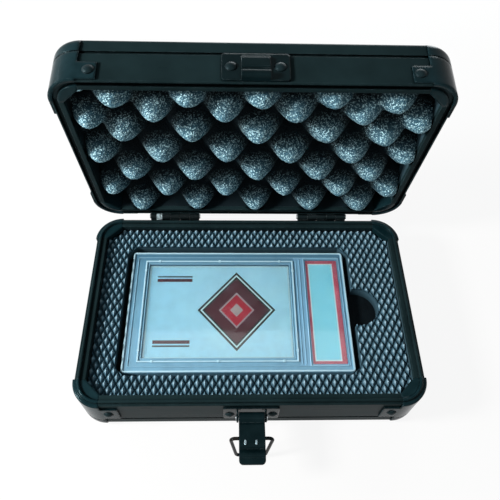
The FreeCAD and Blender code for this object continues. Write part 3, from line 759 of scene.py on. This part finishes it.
def closed_grid(columns, rows, upper, lower, split=None):
    """Points and faces of a closed solid between two surfaces over one grid."""
    points = [upper(i, j) for j in range(rows) for i in range(columns)]
    points += [lower(i, j) for j in range(rows) for i in range(columns)]
    count = columns * rows
    faces = []
    for j in range(rows - 1):
        for i in range(columns - 1):
            a = j * columns + i
            corners = [a, a + 1, a + 1 + columns, a + columns]
            faces.append([c + count for c in reversed(corners)])
            if split is None:
                faces.append(corners)
            elif split(i, j):
                faces += [[corners[0], corners[1], corners[2]], [corners[0], corners[2], corners[3]]]
            else:
                faces += [[corners[0], corners[1], corners[3]], [corners[1], corners[2], corners[3]]]
    rim = list(range(columns))
    rim += [j * columns + columns - 1 for j in range(1, rows)]
    rim += [(rows - 1) * columns + i for i in range(columns - 2, -1, -1)]
    rim += [j * columns for j in range(rows - 2, 0, -1)]
    for a, b in zip(rim, rim[1:] + rim[:1]):
        faces.append([a, a + count, b + count, b])
    return points, faces


def prism(name, outline, low, high):
    """A plain upright solid, for cutting with."""
    count = len(outline)
    points = [(x, y, low) for x, y in outline] + [(x, y, high) for x, y in outline]
    faces = [list(range(count - 1, -1, -1)), list(range(count, 2 * count))]
    for a in range(count):
        b = (a + 1) % count
        faces.append([a, b, b + count, a + count])
    mesh = bpy.data.meshes.new(name)
    mesh.from_pydata([[c * MM for c in p] for p in points], [], faces)
    made = bpy.data.objects.new(name, mesh)
    bpy.context.scene.collection.objects.link(made)
    return made


def trim(target, tool, operation):
    """Cuts a mesh with another, and drops the other."""
    cut = target.modifiers.new("trim", "BOOLEAN")
    cut.operation = operation
    cut.solver = "EXACT"
    cut.object = tool
    bpy.context.view_layer.update()
    seen = target.evaluated_get(bpy.context.evaluated_depsgraph_get())
    mesh = bpy.data.meshes.new_from_object(seen)
    target.modifiers.clear()
    target.data = mesh
    bpy.data.objects.remove(tool)


def chamfered(left, right, near, far, cut):
    """Rectangle with 45 degree corners."""
    return [
        (left + cut, near),
        (right - cut, near),
        (right, near + cut),
        (right, far - cut),
        (right - cut, far),
        (left + cut, far),
        (left, far - cut),
        (left, near + cut),
    ]


def foam_outline():
    """Outline of the base's foam layers."""
    return chamfered(-FOAM_HALF_X, FOAM_HALF_X, -FOAM_HALF_Y, FOAM_HALF_Y, FOAM_CORNER_CUT)


def cut_foam(skin):
    """Upper foam layer: rows of small rhombic points, with the slab's cut-out and a finger notch."""
    columns = 2 * math.ceil(FOAM_HALF_X / POINT_STEP_X) + 5
    rows = 2 * math.ceil(FOAM_HALF_Y / POINT_STEP_Y) + 5
    chance = random.Random(11)
    shifts = {}
    for i in range(columns):
        for j in range(rows):
            dx = chance.uniform(-POINT_SHIFT_X, POINT_SHIFT_X)
            dy = chance.uniform(-POINT_SHIFT_Y, POINT_SHIFT_Y)
            shifts[i, j] = dx, dy, chance.uniform(-POINT_SINK, 0.0)

    def plan(i, j):
        return (i - columns // 2) * POINT_STEP_X, (j - rows // 2) * POINT_STEP_Y

    def upper(i, j):
        x, y = plan(i, j)
        dx, dy, dz = shifts[i, j]
        return x + dx, y + dy, FOAM_TOP + (dz if (i + j) % 2 == 0 else dz - POINT_DEPTH)

    def lower(i, j):
        return (*plan(i, j), SLAB_FLOOR + FOAM_GAP)

    points, faces = closed_grid(columns, rows, upper, lower, lambda i, j: (i + j) % 2 == 1)
    foam = piece("cut_foam", points, faces, None, skin)
    trim(foam, prism("foam_edge", foam_outline(), 0, CUTTER_HEIGHT), "INTERSECT")
    recess = chamfered(RECESS_LEFT, RECESS_RIGHT, -RECESS_HALF_Y, RECESS_HALF_Y, RECESS_CUT)
    trim(foam, prism("recess", recess, 0, CUTTER_HEIGHT), "DIFFERENCE")
    turns = [2 * math.pi * k / NOTCH_SIDES for k in range(NOTCH_SIDES)]
    notch = [(NOTCH_X + NOTCH_RADIUS * math.cos(t), NOTCH_RADIUS * math.sin(t)) for t in turns]
    trim(foam, prism("notch", notch, 0, CUTTER_HEIGHT), "DIFFERENCE")
    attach(foam, "base")
    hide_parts("foam_insert")


def half_width_at(y):
    """Half the foam's width at a distance from its middle line."""
    return FOAM_HALF_X - max(0.0, abs(y) - (FOAM_HALF_Y - FOAM_CORNER_CUT))


def foam_pad(skin):
    """Lower foam layer, with a slightly uneven face."""
    columns, rows = 92, 57

    def plan(i, j):
        y = FOAM_HALF_Y * (2 * j / (rows - 1) - 1)
        return half_width_at(y) * (2 * i / (columns - 1) - 1), y

    def upper(i, j):
        x, y = plan(i, j)
        wave = PAD_WAVE * noise.noise(Vector((x / PAD_WAVE_LENGTH, y / PAD_WAVE_LENGTH, 3.0)))
        return x, y, SLAB_FLOOR - PAD_SINK + wave

    def lower(i, j):
        return (*plan(i, j), PAD_FLOOR)

    points, faces = closed_grid(columns, rows, upper, lower)
    pad = piece("foam_base", points, faces, "base", skin)
    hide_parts("foam_pad")


def egg_cones():
    """Centres, heights and sizes of the cones, each a little unlike the next."""
    chance = random.Random(5)
    cones = []
    for row in range(-EGG_ROWS_OUT, EGG_ROWS_OUT + 1):
        for column in range(-EGG_COLUMNS_OUT, EGG_COLUMNS_OUT + 1):
            x = EGG_START_X + (column + (row % 2) / 2) * EGG_PITCH + chance.uniform(-CONE_SHIFT, CONE_SHIFT)
            y = EGG_START_Y + row * EGG_PITCH / 2 + chance.uniform(-CONE_SHIFT, CONE_SHIFT)
            x, y = pressed_in(x, y)
            rise = EGG_RISE - chance.uniform(0.0, CONE_SINK)
            cones.append((x, y, rise, chance.uniform(CONE_SIZE_LEAST, CONE_SIZE_MOST)))
    return cones


def share(value, start, length):
    """How far a value has gone along a stretch, from 0 to 1."""
    return max(0.0, min(1.0, (value - start) / length))


def pressed_in(x, y):
    """Where the rim pushes a cone to: the front row and the right side are pressed in."""
    in_front = PRESS_FRONT * share(-y, *PRESS_FRONT_STRETCH) ** 2
    in_corner = PRESS_CORNER * share(abs(x), *PRESS_CORNER_STRETCH_X) * share(-y, *PRESS_CORNER_STRETCH_Y)
    in_right = PRESS_RIGHT * share(x, *PRESS_RIGHT_STRETCH)
    in_left = PRESS_LEFT * share(-x, *PRESS_LEFT_STRETCH)
    return x - in_right + in_left, y + in_front + in_corner


def mound_height(r, rise):
    """Height of one mound with a round tip and a soft foot, at a radius."""
    if r >= EGG_REACH:
        return 0.0
    return rise * (0.5 + 0.5 * math.cos(math.pi * r / EGG_REACH)) ** EGG_FULLNESS


def egg_crate(skin):
    """Egg-crate foam of the lid, drawn with the lid shut and then opened."""
    columns, rows = 229, 141
    cones = egg_cones()
    opened = Matrix.Rotation(math.radians(-OPEN_ANGLE), 3, "X")
    pivot = Vector((0, HINGE_Y, HINGE_Z))

    def plan(i, j):
        y = FOAM_HALF_Y * (2 * j / (rows - 1) - 1)
        return half_width_at(y) * (2 * i / (columns - 1) - 1), y

    def place(x, y, z):
        return tuple(opened @ (Vector((x, y, z)) - pivot) + pivot)

    def height(x, y):
        total = 0.0
        for cx, cy, rise, size in cones:
            r = math.hypot(x - cx, y - cy) / size
            if r < EGG_REACH:
                total += math.exp(mound_height(r, rise) / EGG_BLEND) - 1.0
        return EGG_BLEND * math.log(total + 1.0)

    def upper(i, j):
        x, y = plan(i, j)
        pores = PORE_DEPTH * noise.noise(Vector((x / PORE_LENGTH, y / PORE_LENGTH, 1.0)))
        lumps = LUMP_DEPTH * noise.noise(Vector((x / LUMP_LENGTH, y / LUMP_LENGTH, 7.0)))
        return place(x, y, EGG_FLOOR_Z - height(x, y) + pores + lumps)

    def lower(i, j):
        x, y = plan(i, j)
        return place(x, y, EGG_BACK_Z)

    points, faces = closed_grid(columns, rows, upper, lower)
    faces = [list(reversed(f)) for f in faces]
    foam = piece("egg_crate", points, faces, "lid", skin, smooth=True)
    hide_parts("lid_foam")


# The slab: sheets whose relief is a set of rings, bars and wells

Ring = namedtuple("Ring", "x y half_x half_y width rise slope")


def ring_height(x, y, ring):
    """Height of a rectangular raised line at a point."""
    outside = max(abs(x - ring.x) - ring.half_x, abs(y - ring.y) - ring.half_y)
    return ring.rise * max(0.0, min(1.0, -outside / ring.slope, (outside + ring.width) / ring.slope))


def ring_lines(middle, half, width, slope):
    """Places along one axis where a ring's profile breaks."""
    breaks = [half, half - slope, half - width + slope, half - width]
    return [middle + way * b for way in (-1, 1) for b in breaks]


def rounded_corner(x, y, half_x, half_y, radius):
    """Moves a point of a square corner on to a round one."""
    px, py = abs(x) - (half_x - radius), abs(y) - (half_y - radius)
    if px <= 0 or py <= 0:
        return x, y
    pull = max(px, py) / math.hypot(px, py)
    return math.copysign(half_x - radius + px * pull, x), math.copysign(half_y - radius + py * pull, y)


def relief_sheet(name, middle_x, half_x, half_y, radius, flat, face, rings, skin):
    """A sheet with round corners: one flat side, and one with raised or sunk rings."""
    xs = {-half_x, half_x}
    ys = {-half_y, half_y}
    for k in range(1, 5):
        for way in (-1, 1):
            xs.add(way * (half_x - radius * k / 4))
            ys.add(way * (half_y - radius * k / 4))
    for ring in rings:
        lines_x = ring_lines(ring.x - middle_x, ring.half_x, ring.width, ring.slope)
        lines_y = ring_lines(ring.y, ring.half_y, ring.width, ring.slope)
        xs.update(v for v in lines_x if abs(v) < half_x)
        ys.update(v for v in lines_y if abs(v) < half_y)

    def thinned(values):
        kept = []
        for v in sorted(values):
            if not kept or v - kept[-1] > LINES_APART:
                kept.append(v)
        return kept

    xs, ys = thinned(xs), thinned(ys)

    def relief(i, j):
        x, y = xs[i], ys[j]
        rise = sum(ring_height(x + middle_x, y, ring) for ring in rings if ring.rise < 0)
        rise += max([0.0] + [ring_height(x + middle_x, y, ring) for ring in rings if ring.rise > 0])
        x, y = rounded_corner(x, y, half_x, half_y, radius)
        return x + middle_x, y, face + rise

    def plain(i, j):
        x, y = rounded_corner(xs[i], ys[j], half_x, half_y, radius)
        return x + middle_x, y, flat

    points, faces = closed_grid(len(xs), len(ys), relief, plain)
    return piece(name, points, faces, "slab", skin)


def slab_front(skin):
    """Upper shell: raised rim, double line round the card, ribs beside the label and small clips."""
    line_x, line_y = LABEL_HALF_X + LABEL_LINE_OUT_X, LABEL_HALF_Y + LABEL_LINE_OUT_Y
    rings = [
        Ring(SLAB_X, 0, SLAB_HALF_X, SLAB_HALF_Y, *RIM_PROFILE),
        Ring(SLAB_X, 0, SLAB_HALF_X - LEDGE_IN, SLAB_HALF_Y - LEDGE_IN, *LEDGE_PROFILE),
        Ring(CARD_X, 0, CARD_HALF_X + CARD_LINE_OUT, CARD_HALF_Y + CARD_LINE_OUT, *CARD_LINE_PROFILE),
        Ring(CARD_X, 0, CARD_HALF_X + CARD_STEP_OUT, CARD_HALF_Y + CARD_STEP_OUT, *CARD_STEP_PROFILE),
        Ring(LABEL_X, 0, line_x, line_y, *LABEL_LINE_PROFILE),
    ]
    for x in RIB_PLACES:
        rings.append(Ring(x, 0, RIB_HALF_X, RIB_HALF_Y, *RIB_PROFILE))
    clips = []
    for way_x in (-1, 1):
        for way_y in (-1, 1):
            clips.append((way_x * (CARD_HALF_X + CLIP_OUT), way_y * (CARD_HALF_Y - CLIP_FROM_END)))
            clips.append((way_x * (CARD_HALF_X - CLIP_FROM_SIDE), way_y * (CARD_HALF_Y + CLIP_OUT)))
    for way_y in (-1, 1):
        clips.append((0.0, way_y * (CARD_HALF_Y + CLIP_OUT)))
    for x, y in clips:
        rings.append(Ring(CARD_X + x, y, CLIP_HALF, CLIP_HALF, *CLIP_PROFILE))
    shell = relief_sheet(
        "slab_front",
        SLAB_X,
        SLAB_HALF_X,
        SLAB_HALF_Y,
        SLAB_ROUND,
        flat=SLAB_PARTING + SHELL_GAP,
        face=SLAB_SUNK,
        rings=rings,
        skin=skin,
    )
    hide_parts("slab_front_shell")


def slab_rear(skin):
    """Lower shell, with a well each for the card and the label."""
    rings = [
        Ring(CARD_X, 0, CARD_HALF_X + WELL_CLEARANCE, CARD_HALF_Y + WELL_CLEARANCE, *CARD_WELL_PROFILE),
        Ring(LABEL_X, 0, LABEL_HALF_X + WELL_CLEARANCE, LABEL_HALF_Y + WELL_CLEARANCE, *LABEL_WELL_PROFILE),
    ]
    shell = relief_sheet(
        "slab_rear",
        SLAB_X,
        SLAB_HALF_X,
        SLAB_HALF_Y,
        SLAB_ROUND,
        flat=SLAB_FLOOR,
        face=SLAB_PARTING - SHELL_GAP,
        rings=rings,
        skin=skin,
    )
    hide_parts("slab_rear_shell")


def slab_sheets(card_skin, label_skin):
    """The card and the blank label, each with softened edges."""
    card = relief_sheet(
        "card",
        CARD_X,
        CARD_HALF_X,
        CARD_HALF_Y,
        CARD_ROUND,
        flat=SLAB_PARTING - CARD_BACK,
        face=SLAB_PARTING - CARD_FACE,
        rings=[Ring(CARD_X, 0, CARD_HALF_X, CARD_HALF_Y, *CARD_EDGE_PROFILE)],
        skin=card_skin,
    )
    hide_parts("slab_card")
    label = relief_sheet(
        "label",
        LABEL_X,
        LABEL_HALF_X,
        LABEL_HALF_Y,
        LABEL_ROUND,
        flat=SLAB_PARTING - LABEL_BACK,
        face=SLAB_PARTING - LABEL_FACE,
        rings=[Ring(LABEL_X, 0, LABEL_HALF_X, LABEL_HALF_Y, *LABEL_EDGE_PROFILE)],
        skin=label_skin,
    )
    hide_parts("slab_label")


def lever_marks(skin):
    """Two small pressed ridges on the lever's face, given a pale skin as a painted highlight."""
    columns, rows = 7, 13
    for side, way in (("left", -1), ("right", 1)):
        middle_x = MARK_X + way * MARK_SPREAD

        def shares(i, j):
            return 2 * i / (columns - 1) - 1, 2 * j / (rows - 1) - 1

        def plan(i, j, cx=middle_x):
            u, v = shares(i, j)
            beyond = max(0.0, abs(v) - MARK_TAPER_START) / (1 - MARK_TAPER_START)
            squeeze = math.sqrt(1 - MARK_TAPER * beyond ** 2)
            return cx + MARK_HALF_X * u * squeeze, MARK_Y + MARK_HALF_Y * v

        def upper(i, j):
            u, v = shares(i, j)
            swell = math.sqrt(max(0.0, 1 - u * u)) * math.sqrt(max(0.0, 1 - v ** 4))
            return (*plan(i, j), LEVER_FACE_Z + MARK_RISE * swell - MARK_SINK)

        def lower(i, j):
            return (*plan(i, j), LEVER_FACE_Z - MARK_ROOT)

        points, faces = closed_grid(columns, rows, upper, lower)
        piece("lever_mark_painted_highlight_" + side, points, faces, "latch_lever", skin, smooth=True)


# Stage, light and camera

def background(tree, whiteness):
    """How white the background is: to the camera, in metal and through plastic, but not as light."""
    path = tree.nodes.new("ShaderNodeLightPath")
    seen = path.outputs["Is Camera Ray"]
    for ray in ("Is Glossy Ray", "Is Transmission Ray"):
        either = tree.nodes.new("ShaderNodeMath")
        either.operation = "MAXIMUM"
        tree.links.new(seen, either.inputs[0])
        tree.links.new(path.outputs[ray], either.inputs[1])
        seen = either.outputs[0]
    amount = tree.nodes.new("ShaderNodeMath")
    amount.operation = "MULTIPLY"
    amount.inputs[1].default_value = whiteness
    tree.links.new(seen, amount.inputs[0])
    return amount.outputs[0]


def floor():
    """Plain pale floor that keeps the object's shadow."""
    ways = [(-1, -1), (1, -1), (1, 1), (-1, 1)]
    corners = [(x * FLOOR_HALF, y * FLOOR_HALF, -FLOOR_DROP) for x, y in ways]
    material = bpy.data.materials.new("floor_white")
    material.use_nodes = True
    tree = material.node_tree
    tree.nodes.clear()
    matt = tree.nodes.new("ShaderNodeBsdfDiffuse")
    matt.inputs["Color"].default_value = (*FLOOR_TONE, 1)
    glow = tree.nodes.new("ShaderNodeEmission")
    mixed = tree.nodes.new("ShaderNodeMixShader")
    tree.links.new(background(tree, FLOOR_WHITE), mixed.inputs[0])
    tree.links.new(matt.outputs[0], mixed.inputs[1])
    tree.links.new(glow.outputs[0], mixed.inputs[2])
    out = tree.nodes.new("ShaderNodeOutputMaterial")
    tree.links.new(mixed.outputs[0], out.inputs["Surface"])
    ground = piece("floor", corners, [[0, 1, 2, 3]], None, material)


def sky():
    """Dim light from all round, and a white background."""
    world = bpy.data.worlds.new("studio")
    bpy.context.scene.world = world
    world.use_nodes = True
    tree = world.node_tree
    tree.nodes.clear()
    dim = tree.nodes.new("ShaderNodeBackground")
    dim.inputs["Color"].default_value = (*SKY_TONE, 1)
    dim.inputs["Strength"].default_value = SKY_STRENGTH
    white = tree.nodes.new("ShaderNodeBackground")
    white.inputs["Color"].default_value = (1, 1, 1, 1)
    white.inputs["Strength"].default_value = 1.0
    mixed = tree.nodes.new("ShaderNodeMixShader")
    tree.links.new(background(tree, 1.0), mixed.inputs[0])
    tree.links.new(dim.outputs[0], mixed.inputs[1])
    tree.links.new(white.outputs[0], mixed.inputs[2])
    out = tree.nodes.new("ShaderNodeOutputWorld")
    tree.links.new(mixed.outputs[0], out.inputs["Surface"])


def softbox(name, place, target, size, power, colour):
    """A rectangular soft lamp: places and size in millimetres, power in watts."""
    lamp = bpy.data.lights.new(name, "AREA")
    lamp.shape = "RECTANGLE"
    lamp.size, lamp.size_y = size[0] * MM, size[1] * MM
    lamp.energy = power
    lamp.color = colour
    made = bpy.data.objects.new(name, lamp)
    bpy.context.scene.collection.objects.link(made)
    made.location = Vector(place) * MM
    way = (Vector(target) - Vector(place)).normalized()
    made.rotation_mode = "QUATERNION"
    made.rotation_quaternion = way.to_track_quat("-Z", "Y")


def lamps():
    """Key and strip from the left, weak lamps from behind, the right and above."""
    softbox("key_left", (-620, -120, 480), (0, 0, 30), (140, 140), 8.2, PLAIN_WHITE)
    softbox("strip_left", (-660, 80, 300), (0, 0, 60), (760, 45), 1.9, BLUE_WHITE)
    softbox("low_behind", (150, 650, 200), (0, 60, 80), (500, 300), 3.0, COOL_WHITE)
    softbox("low_right", (720, 60, 60), (100, 0, 20), (400, 100), 0.5, COOL_WHITE)
    softbox("fill_above", (200, -380, 860), (0, 0, 30), (500, 500), 0.8, COOL_WHITE)


def camera():
    """The photograph's viewing angle."""
    lens = bpy.data.cameras.new("camera")
    lens.sensor_width = SENSOR_WIDTH
    lens.lens = CAMERA_FOCUS * SENSOR_WIDTH / PICTURE_WIDTH
    lens.clip_start = 0.01
    lens.clip_end = 50
    made = bpy.data.objects.new("camera", lens)
    bpy.context.scene.collection.objects.link(made)
    yaw, pitch, roll = (math.radians(a) for a in (CAMERA_YAW, CAMERA_PITCH, CAMERA_ROLL))
    ahead = Vector((math.sin(yaw) * math.cos(pitch), math.cos(yaw) * math.cos(pitch), -math.sin(pitch)))
    level = Vector((math.cos(yaw), -math.sin(yaw), 0))
    up = level.cross(ahead)
    side = math.cos(roll) * level + math.sin(roll) * up
    top = -math.sin(roll) * level + math.cos(roll) * up
    turn = Matrix((side, top, -ahead)).transposed().to_4x4()
    made.matrix_world = Matrix.Translation(Vector(CAMERA_PLACE) * MM) @ turn
    bpy.context.scene.camera = made


bpy.context.scene.view_settings.view_transform = "Standard"
camera()
floor()
sky()
lamps()
paint_nodes()
cut_foam(cut_foam_skin())
foam_pad(painted_shade_pad_skin())
egg_crate(egg_foam_skin())
plastic = clear_plastic()
slab_front(plastic)
slab_rear(plastic)
slab_sheets(card_print(), label_print())
# The ridges' pale metal is a painted highlight on the black lever.
lever_marks(cast_metal("lever_mark_painted_highlight", (0.20, 0.26, 0.29), (0.40, 0.50, 0.54), 0.2, 0.8, (0.5, 0.58, 0.6)))
